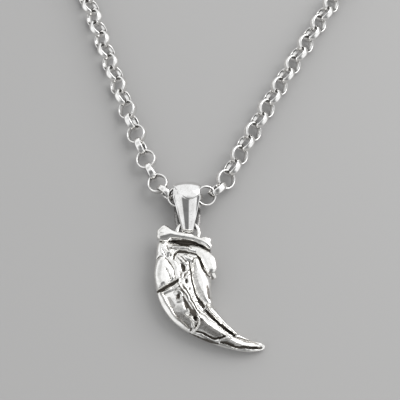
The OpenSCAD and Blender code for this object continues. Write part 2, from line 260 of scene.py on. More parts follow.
# The claw's casting, in mm: a stroke is a curve of x, y and half width, and a lump is an oval
claw = {
    # columns across the front and the back, and a step along the outer edge, which is this much longer
    # than the middle line
    "height": 5.0, "front": 136, "back": 46, "step": 0.12, "outerLonger": 1.1,
    # the section: how square it is, how round its top and its back are, and the keel along its crown
    "squareness": 2.35, "roundTop": 0.42, "roundBack": 0.95, "keel": 0.18, "keelCurve": 1.3,
    "backDip": 0.15, "thinnest": 0.6,
    # the relief fades in from the edge; a crack is a cleft between two shoulders
    "fadeIn": 1.2, "crackDeep": 0.8, "shoulder": 2.5, "shoulderShare": 0.3, "ridgeHigh": 0.4,
    # noise as pairs of how fine and how much: grit in rough patches, an uneven surface, wavering strokes
    "grit": [(1.5, 1), (3.4, 0.25)], "uneven": [(0.8, 0.025), (2.1, 0.008)],
    "waver": [(0.9, 1), (2.6, 0.4)], "waverBy": 0.12,
    # a painted stroke reaches this many half widths, and its edge is this soft
    "strokeSteps": 3, "paintReach": 1.25, "paintSoft": 0.5, "wornShare": 0.5,
    # paint, oxide and painted shade, lies above this height, and as painted shade under the bone where it
    # crosses
    "paintFrom": 0.8, "boneUnder": 4.7, "boneEnds": -13.3,
    "hollowPasses": 14, "hollowReach": 0.11,
    # outer x and y, inner x and y, crown's share of the height, crown's place, edge height, base height
    "sections": [
        (-5.9, -10.1, 3.6, -10.4, 0.76, 0.50, 2.4, 0.2),
        (-6.6, -11.1, 5.0, -12.2, 0.93, 0.48, 2.9, 0),
        (-6.7, -12.8, 5.8, -14.4, 0.98, 0.45, 3.1, 0),
        (-6.8, -15.2, 5.6, -16.6, 1.00, 0.42, 3.1, 0),
        (-7.1, -18.2, 5.5, -19.2, 1.00, 0.42, 3.1, 0),
        (-6.6, -21.4, 5.5, -21.7, 1.00, 0.44, 3.1, 0),
        (-5.9, -24.0, 5.7, -23.9, 1.00, 0.48, 3.0, 0),
        (-4.7, -26.3, 6.2, -25.6, 0.98, 0.52, 2.9, 0),
        (-3.0, -28.4, 7.1, -26.9, 0.95, 0.56, 2.8, 0),
        (-0.7, -30.2, 8.3, -28.4, 0.90, 0.58, 2.6, 0),
        (2.6, -32.0, 9.8, -29.9, 0.84, 0.58, 2.5, 0),
        (6.0, -33.3, 11.2, -31.1, 0.78, 0.58, 2.3, 0),
        (9.3, -34.2, 12.8, -31.9, 0.70, 0.55, 2.1, 0),
        (12.9, -34.8, 14.6, -32.5, 0.56, 0.50, 1.8, 0),
        (15.4, -34.6, 16.1, -32.8, 0.46, 0.50, 1.5, 0.2),
        (16.8, -34.2, 17.1, -33.2, 0.30, 0.50, 1.0, 0.5),
    ],
    "cracks": [
        # under the bone, round the collar, and across the claw under the left lobe
        (1.5, [(-3.2, -10.7, 0.5), (-1.5, -11.0, 0.85), (0.3, -11.2, 0.9), (1.6, -11.2, 0.7),
               (2.7, -11.6, 0.55), (3.9, -12.2, 0.45), (5.4, -13.2, 0.35)]),
        (1.1, [(-2.8, -14.9, 0.28), (-2.5, -13.9, 0.4), (-1.8, -13.3, 0.45), (-0.4, -13.4, 0.38),
               (1, -13.6, 0.28), (2.3, -14, 0.35), (2.9, -14.9, 0.42), (3.3, -15.9, 0.48),
               (3.6, -17, 0.48), (4.1, -17.8, 0.45), (5.1, -18.9, 0.35)]),
        (1.3, [(-6.9, -22.3, 0.48), (-5.7, -21.9, 0.5), (-4.3, -21.2, 0.5), (-3, -20.5, 0.52),
               (-1.9, -19.8, 0.42)]),
        # beside the rib, and the slot below it
        (0.6, [(0.7, -15.7, 0.2), (0.9, -17.3, 0.24), (1.1, -19, 0.26), (1.5, -21, 0.26), (2.1, -22.8, 0.3),
               (2.7, -24, 0.42), (3.4, -25, 0.5), (3.8, -25.6, 0.45)]),
        (1.1, [(4.2, -26.3, 0.3), (5.2, -27.3, 0.38), (6.7, -28.8, 0.38), (8.4, -30.1, 0.36),
               (10.4, -31.5, 0.26)]),
        # fine lines on the lobe
        (0.35, [(-4.7, -14.9, 0.2), (-3.7, -15.8, 0.24), (-3.0, -16.9, 0.24), (-2.6, -18.2, 0.24),
               (-2.4, -19.6, 0.2)]),
        (0.25, [(-4.4, -17.4, 0.2), (-3.9, -18.5, 0.26), (-3.4, -19.6, 0.2)]),
        # creases of the collar
        (0.3, [(-4.3, -11.9, 0.16), (-4.1, -12.7, 0.24), (-3.8, -13.4, 0.16)]),
        (0.3, [(-5.3, -12.9, 0.16), (-4.9, -13.6, 0.26), (-4.6, -14.3, 0.18)]),
        (0.3, [(-6.6, -14.9, 0.16), (-6.0, -14.5, 0.22), (-5.3, -14.5, 0.16)]),
        # along the lower edge, and round the tip
        (0.7, [(2.2, -30.6, 0.24), (3.6, -31.0, 0.3), (4.7, -31.6, 0.3), (5.6, -32.0, 0.3),
               (6.6, -32.1, 0.28), (8.3, -31.7, 0.2)]),
        (0.6, [(7.4, -32.9, 0.22), (9.0, -33.3, 0.32), (10.9, -33.9, 0.4), (12.5, -33.9, 0.4),
               (14.1, -34.0, 0.34), (16.2, -33.9, 0.25)]),
        (0.25, [(10.9, -31.9, 0.16), (12.0, -32.1, 0.2), (13.2, -32.4, 0.16)]),
    ],
    "ridges": [
        # the two lines of the long ridge, and the line of the lower edge
        (1.3, [(-1.6, -20.4, 0.3), (-1.0, -21.2, 0.34), (0.1, -22.7, 0.34), (1.2, -24.8, 0.34),
               (2.4, -26.7, 0.34), (3.8, -28.3, 0.36), (5.1, -29.5, 0.36), (6.6, -30.5, 0.36),
               (8.2, -31.4, 0.34), (9.3, -32.0, 0.3)]),
        (0.7, [(-0.3, -20.9, 0.22), (0.7, -22.4, 0.25), (1.6, -24.2, 0.25), (2.8, -26.2, 0.28),
               (4.4, -27.5, 0.28), (6.0, -28.8, 0.28), (7.6, -30.1, 0.28), (9.2, -31.3, 0.26),
               (10.3, -31.8, 0.22)]),
        (1.3, [(-5.2, -22.7, 0.45), (-4.7, -23.6, 0.5), (-4.1, -24.7, 0.48), (-3.4, -25.8, 0.4),
               (-2.7, -27.0, 0.32), (-1.9, -27.9, 0.28), (-0.7, -28.8, 0.26), (0.5, -29.9, 0.24)]),
        (0.8, [(-5.1, -22.5, 0.45), (-4.1, -22.2, 0.4), (-2.9, -21.6, 0.36), (-1.8, -21.0, 0.3)]),
        (0.7, [(-2.7, -15.4, 0.28), (-2.0, -16.9, 0.38), (-1.7, -18.4, 0.38), (-1.5, -20, 0.34)]),
        # the fracture's ragged lips
        (1.2, [(0.7, -26.0, 0.2), (0.9, -26.8, 0.24), (0.5, -27.1, 0.26), (0.0, -27.2, 0.26),
               (0.5, -27.6, 0.28), (1.2, -28.0, 0.3), (1.7, -28.5, 0.28), (2.3, -28.8, 0.24)]),
        (1.1, [(2.5, -27.6, 0.22), (2.9, -28.2, 0.28), (2.9, -28.9, 0.3), (2.6, -29.6, 0.32),
               (2.1, -30.2, 0.3), (1.6, -30.9, 0.24)]),
        (1.0, [(1.2, -28.4, 0.24), (1.6, -29.0, 0.36), (1.7, -29.6, 0.32)]),
        # round the pit, and along the tip
        (0.9, [(-2.4, -22.9, 0.2), (-2.0, -22.3, 0.26), (-1.4, -22.2, 0.26), (-0.8, -23.0, 0.28),
               (-0.8, -23.8, 0.3), (-1.3, -24.3, 0.34), (-2.0, -24.5, 0.26)]),
        (0.9, [(7.1, -32.6, 0.24), (7.7, -32.2, 0.26), (8.7, -32.1, 0.28), (9.8, -32.5, 0.32),
               (11.0, -33.1, 0.36), (13.0, -33.5, 0.36), (15.9, -33.6, 0.3)]),
        # on the worn strip beside the rib
        (1.0, [(0.5, -17.5, 0.24), (-0.1, -17.9, 0.3), (-0.7, -18.5, 0.3), (-0.8, -19.4, 0.22)]),
        (0.8, [(0.8, -18.2, 0.2), (0.2, -18.8, 0.26), (-0.2, -19.3, 0.2)]),
        (1.0, [(-1.9, -14.3, 0.3), (-1.2, -15.0, 0.34), (-0.4, -15.9, 0.3), (0.1, -16.3, 0.24)]),
    ],
    # smooth bulges: the rib, the bar below it, the left lobe, and the collar's lumps
    "swells": [
        (1.0, [(2.3, -15.4, 0.8), (2.4, -16.6, 1.15), (3.0, -18.4, 1.65), (3.8, -20.4, 2.3),
               (4.1, -22.2, 2.15), (4.8, -23.8, 1.7), (5.3, -25.0, 0.9)]),
        (0.6, [(4.8, -25.3, 0.5), (6.2, -26.7, 0.7), (7.8, -28.2, 0.75), (9.4, -29.7, 0.7),
               (10.8, -31.0, 0.5)]),
        (0.6, [(-5.3, -15.8, 1.5), (-5.5, -17.4, 2.1), (-5.6, -19, 2.2), (-5.3, -20.3, 1.7)]),
        (0.6, [(-5.6, -11.8, 1.5), (-5.3, -13.1, 1.7), (-3.8, -13.4, 0.9)]),
        (0.5, [(-2.8, -12.3, 0.45), (-1, -12.5, 0.55), (0.6, -12.6, 0.5)]),
        (0.4, [(0.9, -15.1, 0.6), (-0.2, -14.7, 0.7)]),
    ],
    # rough patches, broken by noise
    "rough": [
        (0.26, [(0.2, -20.4, 0.7), (1.1, -22.2, 0.7), (2.1, -24.2, 0.7), (3.1, -25.7, 0.5)]),
        (0.14, [(-0.9, -15.4, 0.9), (-0.4, -17.5, 0.9), (0, -19.4, 0.8)]),
        (0.2, [(4.6, -26.8, 0.3), (6.6, -28.7, 0.35), (8.4, -30.1, 0.25)]),
        (0.12, [(-5.2, -12, 0.9), (-3.6, -12.8, 1.0), (-2.6, -12.3, 0.6)]),
    ],
    # height, x, y, reach in x, reach in y
    "lumps": [
        (-0.5, -1.6, -23.3, 0.5, 0.75), (-0.6, -0.7, -16.9, 0.7, 1.1), (-0.5, 0.1, -20.0, 0.45, 0.6),
        (-0.45, 0.1, -25.3, 0.7, 1.1), (-0.7, 2.0, -28.0, 0.5, 0.6), (-0.4, -3.5, -14.2, 0.3, 0.35),
        (-0.3, -0.3, -24.6, 0.6, 0.9), (-0.35, 2.2, -29.6, 0.35, 0.5),
    ],
    # oxide in the hollows, and painted shade and painted dark reflections: painted darker than their depth
    # alone would make them
    "oxideAndShade": [
        # the gap under the bone, oxide with a painted shadow; painted shade on the casting and the bone's
        # underside beside it, and a painted shadow under the knob; the cracks, and the slot
        (1.0, [(-2.8, -10.8, 0.35), (-1.5, -11.0, 0.5), (0.3, -11.2, 0.55), (1.6, -11.1, 0.5),
               (2.7, -11.6, 0.5), (3.9, -12.2, 0.45), (5.4, -13.1, 0.35)]),
        (0.9, [(-5.9, -10.9, 0.2), (-4.4, -10.8, 0.25), (-2.8, -10.6, 0.3), (0, -10.6, 0.6),
               (2.2, -11.0, 0.5)]),
        (0.76, [(5.2, -18.1, 0.4), (5.7, -18.8, 0.4)]),
        (1.0, [(-6.6, -22.2, 0.2), (-5.7, -21.9, 0.26), (-4.3, -21.2, 0.28), (-3, -20.5, 0.3),
               (-2.2, -20.0, 0.2)]),
        # the hollow facets either side of the fracture, painted grey as a dark reflection
        (0.76, [(-2.2, -26.9, 0.4), (-1.3, -27.5, 1.0), (-0.1, -28.6, 1.0), (0.8, -29.7, 0.6)]),
        (0.76, [(3.2, -28.9, 0.6), (4.3, -30.1, 0.85), (5.7, -31.0, 0.7), (7.2, -31.6, 0.4)]),
        # painted shade in the brown band along the long ridge's shadowed side, and oxide in its pits
        (0.9, [(-0.7, -23.5, 0.2), (0, -24.8, 0.5), (0.5, -26, 0.6), (1.5, -27, 0.6), (2.3, -28, 0.4)]),
        (1.0, [(1.7, -27.6, 0.3), (2.2, -28.2, 0.4)]),
        (0.85, [(-1.3, -22.8, 0.25), (-1.8, -23.2, 0.4), (-2.0, -23.8, 0.3)]),
        # the black lines of the lower edge and of the tip, oxide in their cracks with a painted shadow
        # along the lower edge; oxide in the slot, and a painted grey reflection on the facet beside the pit
        (1.0, [(1.2, -30.1, 0.2), (1.0, -30.5, 0.2)]),
        (1.0, [(2.3, -30.6, 0.15), (3.6, -31.0, 0.24), (4.7, -31.6, 0.24), (5.6, -32.0, 0.26),
               (6.6, -32.1, 0.24), (8.3, -31.7, 0.15)]),
        (1.0, [(7.4, -32.9, 0.15), (9.0, -33.3, 0.25), (10.9, -33.9, 0.3), (12.5, -33.9, 0.33),
               (14.1, -34.0, 0.3), (16.2, -33.9, 0.15)]),
        (0.85, [(7.6, -32.8, 0.15), (8.8, -33.0, 0.35), (10.2, -33.4, 0.2)]),
        (1.0, [(4.1, -26.2, 0.22), (5.2, -27.4, 0.28), (6.7, -28.8, 0.28), (8.4, -30.1, 0.26),
               (10.3, -31.4, 0.18)]),
        (0.72, [(-3.7, -24.0, 0.6), (-2.9, -25.3, 0.8)]),
        # the shaded flank under the fracture
        (0.86, [(0.4, -30.9, 0.15), (2.4, -31.8, 0.32), (4.8, -32.6, 0.36), (6.9, -33.2, 0.2)]),
        # painted shade giving a greyer tone on the rib's sides and along the tip
        (0.71, [(2.0, -16.3, 0.4), (1.9, -18.5, 0.5), (2.4, -20.8, 0.6), (3.3, -22.9, 0.6),
               (4.3, -24.4, 0.4)]),
        (0.82, [(4.5, -21.1, 0.2), (4.7, -22.4, 0.4), (5.0, -23.9, 0.35)]),
        (0.81, [(10.2, -31.8, 0.25), (11.4, -32.2, 0.4), (12.9, -32.6, 0.4), (14.3, -32.9, 0.3),
               (15.6, -33.2, 0.16)]),
        # the collar's creases
        (0.73, [(-4.3, -12.0, 0.1), (-4.1, -12.7, 0.15), (-3.8, -13.4, 0.1)]),
        (0.73, [(-5.2, -13.1, 0.1), (-4.9, -13.6, 0.18), (-4.6, -14.3, 0.12)]),
        (0.73, [(-6.5, -14.8, 0.1), (-6.0, -14.5, 0.14), (-5.4, -14.5, 0.1)]),
        # the corner under the rib, and the pits of the worn strip
        (0.9, [(2.4, -23.4, 0.2), (3.1, -24.6, 0.4), (3.7, -25.4, 0.42)]),
        (0.9, [(-1.1, -16.1, 0.25), (-0.6, -16.9, 0.5), (-0.6, -17.7, 0.35)]),
        (0.85, [(0.1, -19.7, 0.3), (0.0, -20.3, 0.25)]),
    ],
    # rubbed bright again over the oxide: the fracture's lips
    "worn": [
        (1.0, [(0.4, -26.0, 0.12), (0.6, -26.7, 0.2), (0.0, -27.2, 0.22), (0.6, -27.7, 0.24),
               (1.2, -28.2, 0.3), (1.6, -28.8, 0.36), (1.4, -29.5, 0.26)]),
        (1.0, [(2.6, -27.7, 0.14), (2.9, -28.5, 0.18), (2.7, -29.4, 0.2), (2.1, -30.3, 0.2)]),
    ],
}


def strokesOf(name, widest):
    # each stroke's curve as short straight pieces, with the box that they reach
    made = []
    steps = claw["strokeSteps"]
    for strength, points in claw[name]:
        rows = [Vector(p) for p in [points[0], *points, points[-1]]]
        fine = [smoothCurve(*rows[i:i + 4], j / steps) for i in range(len(rows) - 3) for j in range(steps)]
        fine.append(rows[-1])
        reach = max(p.z for p in fine) * widest
        low = (min(p.x for p in fine) - reach, min(p.y for p in fine) - reach)
        high = (max(p.x for p in fine) + reach, max(p.y for p in fine) + reach)
        made.append((strength, list(zip(fine, fine[1:])), low, high))
    return made


strokeReach = {
    "cracks": claw["shoulder"], "ridges": 1, "swells": 1, "rough": 1,
    "oxideAndShade": claw["paintReach"], "worn": claw["paintReach"],
}
clawStrokes = {name: strokesOf(name, reach) for name, reach in strokeReach.items()}


def strokesAt(x, y, name, shape):
    # what each stroke near a point gives there, by the distance to it in half widths
    for strength, pieces, low, high in clawStrokes[name]:
        if low[0] < x < high[0] and low[1] < y < high[1]:
            near = math.inf
            for a, b in pieces:
                dx, dy = b.x - a.x, b.y - a.y
                f = clamp(((x - a.x) * dx + (y - a.y) * dy) / (dx * dx + dy * dy))
                near = min(near, math.hypot(x - a.x - f * dx, y - a.y - f * dy) / (a.z + (b.z - a.z) * f))
            yield strength * shape(near)


def crackShape(u):
    # a narrow cleft between two rounded shoulders
    return (1 - claw["shoulderShare"]) * fade(u) + claw["shoulderShare"] * fade(u / claw["shoulder"])


def swellShape(u):
    return max(0, 1 - u * u)


def paintShape(u):
    # full over most of the stroke, then a soft edge
    return clamp((claw["paintReach"] - u) / claw["paintSoft"])


def waver(p):
    # the strokes run a little unevenly, as in wax
    bend = sum((much * noise.noise_vector(p * fine) for fine, much in claw["waver"]), Vector())
    return p.x + bend.x * claw["waverBy"], p.y + bend.y * claw["waverBy"]


def noiseOf(p, name):
    return sum(much * noise.noise(p * fine) for fine, much in claw[name])


def clawRelief(p):
    x, y = waver(p)
    lumps = sum(h * fade(math.hypot((x - cx) / rx, (y - cy) / ry)) for h, cx, cy, rx, ry in claw["lumps"])
    uneven = noiseOf(p, "uneven")
    swells = sum(strokesAt(x, y, "swells", swellShape))
    ridges = claw["ridgeHigh"] * sum(strokesAt(x, y, "ridges", fade))
    rough = noiseOf(p, "grit") * sum(strokesAt(x, y, "rough", fade))
    cracks = claw["crackDeep"] * sum(strokesAt(x, y, "cracks", crackShape))
    return swells + ridges + lumps + uneven + rough - cracks


def clawRows():
    # the table's sections, and smooth ones between them
    sections = [Vector(s) for s in claw["sections"]]
    ends = [sections[0], *sections, sections[-1]]
    rows = []
    for before, a, b, after in zip(ends, ends[1:], ends[2:], ends[3:]):
        middle = ((a[0] + a[2] - b[0] - b[2]) / 2, (a[1] + a[3] - b[1] - b[3]) / 2)
        count = max(2, round(math.hypot(*middle) * claw["outerLonger"] / claw["step"]))
        rows += [smoothCurve(before, a, b, after, j / count) for j in range(count)]
    return rows + [sections[-1]]


def clawSkin(row, column):
    # the front runs over the crown from the outer to the inner edge, and the back returns under it;
    # the columns lie closer to each other near the edges
    front = column <= claw["front"]
    q = column / claw["front"] if front else 1 - (column - claw["front"]) / claw["back"]
    outerX, outerY, innerX, innerY, crown, crownPlace, edge, base = row
    wide = 0.5 * (1 - 2 * q) + 0.5 * math.cos(math.pi * q)
    lift = math.sqrt(max(0, 1 - abs(wide) ** claw["squareness"]))
    full = lift ** claw["roundTop" if front else "roundBack"]
    t = ((1 - wide) / 2) ** (math.log(crownPlace) / math.log(0.5))
    x, y = outerX + (innerX - outerX) * t, outerY + (innerY - outerY) * t
    if not front:
        return place(x, y, max(base, edge - (edge - base + claw["backDip"]) * full))
    top = full * (1 - claw["keel"] * abs(wide) ** claw["keelCurve"])
    relief = clawRelief(Vector((x, y, 0))) * min(1, claw["fadeIn"] * full)
    z = edge + (crown * claw["height"] - edge) * top + relief
    return place(x, y, max(z, base + claw["thinnest"]) if 0 < q < 1 else edge)


def makeClawBody():
    rows = clawRows()
    around = claw["front"] + claw["back"]
    bm = bmesh.new()
    bmesh.ops.create_grid(bm, x_segments=len(rows) - 1, y_segments=around, size=0.5)
    for v in bm.verts:
        row = rows[round((v.co.x + 0.5) * (len(rows) - 1))]
        v.co = clawSkin(row, round((v.co.y + 0.5) * around))
    merge(bm)
    ends = bmesh.ops.holes_fill(bm, edges=[e for e in bm.edges if e.is_boundary])["faces"]
    bmesh.ops.poke(bm, faces=ends)
    return finishPiece("clawBody", bm, castSilver)


# The small bone, the knob and the ring, in mm: each ball is x, y, z, diameter
boneZ = claw["height"] + 0.2
knobZ = claw["height"] - 0.9
extras = {
    # how fine the balls are, and the grid and the smoothing that blend them
    "ballAround": 28, "ballUp": 16, "voxel": 0.1, "smooth": 12,
    # balls joined one after the other
    "rows": [
        [(-3.6, -9.4, boneZ - 0.1, 2.1), (-2.2, -9.7, boneZ, 1.6), (-0.4, -10, boneZ, 1.4),
         (1.6, -10.4, boneZ, 1.4), (3.4, -11, boneZ - 0.1, 1.45), (4.6, -11.7, boneZ - 0.2, 1.55),
         (5.1, -12.2, boneZ - 0.3, 1.4)],
        [(-5, -10.2, boneZ - 0.8, 1.8), (-4.8, -11.2, 3, 2.4)],
        [(4.9, -11.9, boneZ - 0.8, 1.45), (4.3, -12.6, 3, 2.1)],
        [(5, -16, 2.6, 2.5), (5.4, -17.9, 2.4, 2.2), (6, -18.4, 2.3, 1.6)],
    ],
    # balls joined all together: the bone's ends
    "blobs": [
        [(-5, -8.3, boneZ - 0.1, 2), (-5.7, -9, boneZ - 0.2, 2.05), (-3.6, -9.4, boneZ - 0.1, 2.1)],
        [(-5.7, -9.9, boneZ - 0.3, 2.1), (-4.4, -10.1, boneZ - 0.3, 1.8), (-3.6, -9.4, boneZ - 0.1, 2.1)],
        [(4.1, -10.7, boneZ - 0.2, 1.5), (4.9, -10.9, boneZ - 0.3, 1.5), (4.6, -11.7, boneZ - 0.2, 1.5)],
    ],
    # the smooth band that swells into the knob, flatter than it is wide
    "knobFlat": 0.6,
    "knobRow": [(0.9, -12.4, knobZ, 1.3), (2.5, -12.9, knobZ + 0.1, 1.75), (4, -13.9, knobZ + 0.1, 2.4),
                (5, -15.3, knobZ, 3.2)],
    "knobBlob": [(5, -15.3, knobZ, 3.2), (5.3, -16.2, knobZ + 0.1, 2.9), (5.5, -17, knobZ + 0.2, 2.5)],
    # the loop ring
    "ringAt": (0.25, -8.5, 2.6), "ringDiameter": 6, "ringWire": 1.05, "wireAround": 20, "ringSteps": 80,
}


def makeExtras():
    bm = bmesh.new()
    groups = [(1, pair) for row in extras["rows"] for pair in zip(row, row[1:])]
    groups += [(1, blob) for blob in extras["blobs"]]
    groups += [(extras["knobFlat"], pair) for pair in zip(extras["knobRow"], extras["knobRow"][1:])]
    groups.append((extras["knobFlat"], extras["knobBlob"]))
    for flat, group in groups:
        joined = bmesh.new()
        for x, y, z, d in group:
            spot = Matrix.Translation(place(x, y, z)) @ Matrix.Diagonal((1, 1, flat, 1))
            bmesh.ops.create_uvsphere(joined, u_segments=extras["ballAround"], v_segments=extras["ballUp"],
                                      radius=d / 2 * mm, matrix=spot)
        hull = bmesh.ops.convex_hull(joined, input=joined.verts)
        bmesh.ops.delete(joined, geom=hull["geom_interior"], context="VERTS")
        addTo(bm, joined)
    piece = finishPiece("boneAndKnob", bm, castSilver)
    remesh = piece.modifiers.new("blend", "REMESH")
    remesh.mode = "VOXEL"
    remesh.voxel_size = extras["voxel"] * mm
    soften = piece.modifiers.new("soften", "SMOOTH")
    soften.iterations = extras["smooth"]
    applyModifiers(piece)
    return piece


def makeLoopRing():
    bm = bmesh.new()
    wire = extras["ringWire"]
    wireRing(bm, (extras["ringDiameter"] - wire) / 2, wire, extras["wireAround"], extras["ringSteps"])
    bmesh.ops.translate(bm, verts=bm.verts, vec=place(*extras["ringAt"]))
    return finishPiece("loopRing", bm, castSilver)


def weld(piece, others):
    # one closed surface, as cast or soldered
    for other in others:
        union = piece.modifiers.new("weld", "BOOLEAN")
        union.operation = "UNION"
        union.solver = "MANIFOLD"
        union.object = other
    applyModifiers(piece)
    for other in others:
        bpy.data.objects.remove(other)


def paintOxideAndShade(piece):
    # the painted strokes, oxide and painted shade, lie on the casting, and as painted shade under the bone
    # where it crosses
    marks = piece.data.attributes["hollowAndShade"]
    for v, mark in zip(piece.data.vertices, marks.data):
        p = (v.co - home) / mm
        crossed = p.y > claw["boneEnds"] and p.z >= claw["boneUnder"]
        if p.z > claw["paintFrom"] and v.normal.z > 0 and not crossed:
            x, y = waver(Vector((p.x, p.y, 0)))
            mark.value = max([mark.value, *strokesAt(x, y, "oxideAndShade", paintShape)])
            mark.value *= 1 - claw["wornShare"] * max([0, *strokesAt(x, y, "worn", paintShape)])


def makeClaw():
    piece = makeClawBody()
    weld(piece, [makeExtras(), makeLoopRing()])
    piece.name = "clawCasting"
    markHollowsAndShade(piece, claw["hollowPasses"], claw["hollowReach"])
    paintOxideAndShade(piece)
    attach(piece, "root")
    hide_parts("claw")


makeClaw()
print("claw made")


# The bail, in mm: a tapered band whose loop closes round the ring
bail = {
    "eyeDiameter": bailEyeDiameter, "eyeWidth": 6.2, "foot": (0.2, -7.2, 2.6), "footWidth": 2.9,
    "wall": 0.85, "holeAtFoot": 1.5, "thinnest": 0.2,
    # columns across the outer face, and steps round the eye, round the foot and along each straight
    "across": 56, "eyeSteps": 90, "footSteps": 34, "straightSteps": 44,
    # how evenly the columns lie, how the inner face rises at the edges, and how the outer face rounds off
    "evenShare": 0.35, "crowding": 1.5, "innerRise": 0.1, "innerEdge": 12, "outerEdge": 16,
    "hollowPasses": 6, "hollowReach": 0.3, "insideDark": 0.17,
    # the front's facets: share of the half width, fall below the crown in half widths
    "facets": [(-1, 0.34), (-0.74, 0.125), (-0.34, 0.012), (-0.1, 0), (0.14, 0.012), (0.7, 0.18),
               (1, 0.37)],
    # the smooth cap over the eye ends in a sagging line: its lowest place, where that lies across the
    # half width, and how it rises to the left and to the right
    "capLine": (-1.6, 0.13, (3.2, 1.9)), "capEdge": 0.12,
    # the cap falls away to its sides, and swells to a lip above that line
    "capFall": 0.16, "capLip": 0.18, "capLipRun": 1.3,
    # the back of the band stays wide almost down to the ring: share of the way down, half width
    "backHalf": [(0, 3.1), (0.65, 2.95), (0.85, 2.65), (0.94, 2.3), (1, 1.45)],
}


def bailLoop():
    # two end rounds and the straights between them, each point as a centre, a radius and a direction
    eye = Vector((0, bail["eyeDiameter"] / 2))
    foot = Vector(bail["foot"][1:])
    big, small = bail["eyeDiameter"] / 2, bail["holeAtFoot"] / 2 + bail["wall"]
    along = foot - eye
    lean = math.acos((big - small) / along.length)
    heading = math.atan2(along.y, along.x)
    arcs = [(eye, big, heading + lean, heading + 2 * math.pi - lean),
            (foot, small, heading - lean, heading + lean)]
    points = []
    for arc, other, count in zip(arcs, reversed(arcs), (bail["eyeSteps"], bail["footSteps"])):
        centre, radius, start, end = arc
        for i in range(count):
            points.append((centre, radius, start + (end - start) * i / (count - 1)))
        for i in range(1, bail["straightSteps"]):
            f = i / bail["straightSteps"]
            points.append((centre.lerp(other[0], f), radius + (other[1] - radius) * f, end))
    return eye, foot, points


def bandSection(share, half, y, front):
    # once round the band's section: flat inside, facets or a smooth cap outside; returns x and thickness
    side, even = math.cos(share * 2 * math.pi), bail["evenShare"]
    wide = even * side + (1 - even) * math.copysign(1 - (1 - abs(side)) ** bail["crowding"], side)
    if math.sin(share * 2 * math.pi) <= 0:
        return half * wide, bail["innerRise"] * abs(wide) ** bail["innerEdge"]
    lowest, at, rises = bail["capLine"]
    over = y - lowest - rises[wide > at] * (wide - at) ** 2
    below = clamp(-over / bail["capEdge"]) if front else 0
    lip = bail["capLip"] * clamp(1 - over / bail["capLipRun"]) ** 2 if front else 0
    capFall = bail["capFall"] * wide * wide * half - lip
    facetFall = lookUp(bail["facets"], wide) * half
    thick = max(bail["wall"] - capFall * (1 - below) - facetFall * below, bail["thinnest"])
    return half * wide, thick * math.sqrt(1 - abs(wide) ** bail["outerEdge"])


def makeBail():
    eye, foot, loop = bailLoop()
    bm = bmesh.new()
    bmesh.ops.create_grid(bm, x_segments=len(loop), y_segments=bail["across"] * 2, size=0.5)
    inside = bm.verts.layers.float.new("inside")
    for v in bm.verts:
        v[inside] = 1 if v.co.y > 0.01 else 0  # the grid's second half is the inner face
        centre, radius, a = loop[round((v.co.x + 0.5) * len(loop)) % len(loop)]
        down = clamp((eye.x - centre.x) / (eye.x - foot.x))
        half = (bail["eyeWidth"] + (bail["footWidth"] - bail["eyeWidth"]) * down) / 2
        if math.sin(a) < 0:
            half = lookUp(bail["backHalf"], down)
        x, thick = bandSection(v.co.y + 0.5, half, centre.x + radius * math.cos(a), math.sin(a) > 0)
        out = radius - bail["wall"] + thick
        v.co = place(x + bail["foot"][0] * down, centre.x + out * math.cos(a), centre.y + out * math.sin(a))
    merge(bm)
    piece = finishPiece("bailBand", bm, polishedSilver)
    markHollowsAndShade(piece, bail["hollowPasses"], bail["hollowReach"], bail["insideDark"])
    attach(piece, "root")
    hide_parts("bail")


makeBail()
print("bail made")


# The belcher chain, in mm: its route, rolls and lifts are the solid chain's own
chain = {
    "linkDiameter": 4.8, "wall": 0.46, "width": 1.48, "step": 3.57, "shift": -0.45, "claspSlots": 4,
    # the link that turns into the bail is drawn narrower, clear of its neighbours
    "narrowLink": -1, "narrowWidth": 1.28,
    "segments": 36, "perStretch": 24, "slackTotal": 2.3,
    # a link is a band with eased corners: distance out from its inner face, or in from its outer one,
    # and share of the half width there
    "innerCorner": [(0, 0.72), (0.06, 0.93), (0.15, 1)],
    "outerCorner": [(0.14, 0.97), (0.05, 0.86), (0, 0.45)],
    # the links' undersides, whose normals point down, get painted shade
    "hollowPasses": 3, "hollowReach": 0.2, "insideDeep": 0.1, "insideDark": 0.07, "underShade": 0.14,
    "route": [
        (0, -0.1), (4.3, 0.3), (7.5, 2.6), (9.6, 5.8), (12.8, 12), (18.3, 22), (23.9, 32), (29.8, 42),
        (35.8, 52), (47, 71), (57.5, 91), (65.5, 114), (68, 139), (63, 163), (49, 184), (26, 197),
        (1, 199), (-22, 191), (-39, 173), (-47.5, 149), (-47, 122), (-41.5, 97), (-33.5, 74),
        (-25.8, 53.7), (-20.7, 39.5), (-15.6, 25.5), (-10.6, 12), (-7.8, 5.2), (-4.4, 0.6),
    ],
    # roll of every second link about the chain: link, degrees from flat
    "roll": [(-62, 90), (-24, 48), (-12, 45), (-10, 41), (-8, 33), (-6, 22), (-4, 11), (-3, 8), (-2, 6),
             (-1, 4), (0, 9), (1, 15), (2, 18), (3, 26), (4, 33), (5, 38), (7, 43), (14, 44), (24, 42),
             (62, 90)],
    # how far the chain is lifted to the bail's eye
    "lift": [(-4.5, 0), (-3, 0.15), (-2, 0.6), (-1, 1), (1, 1), (2, 0.6), (3, 0.15), (4.5, 0)],
    # slack taken up in the bends beside the bail
    "slack": [(-4.5, -1.2), (-3.5, -1.1), (-2.5, -1), (-1.5, -0.53), (-0.5, -0.1),
              (0.5, 0.1), (1.5, 0.5), (2.5, 0.9), (3.5, 1.1)],
}


def chainCurve():
    route = [Vector(p) for p in chain["route"]]
    count = len(route)
    points = []
    for i in range(count):
        four = route[i - 1], route[i], route[(i + 1) % count], route[(i + 2) % count]
        points += [smoothCurve(*four, j / chain["perStretch"]) for j in range(chain["perStretch"])]
    return points


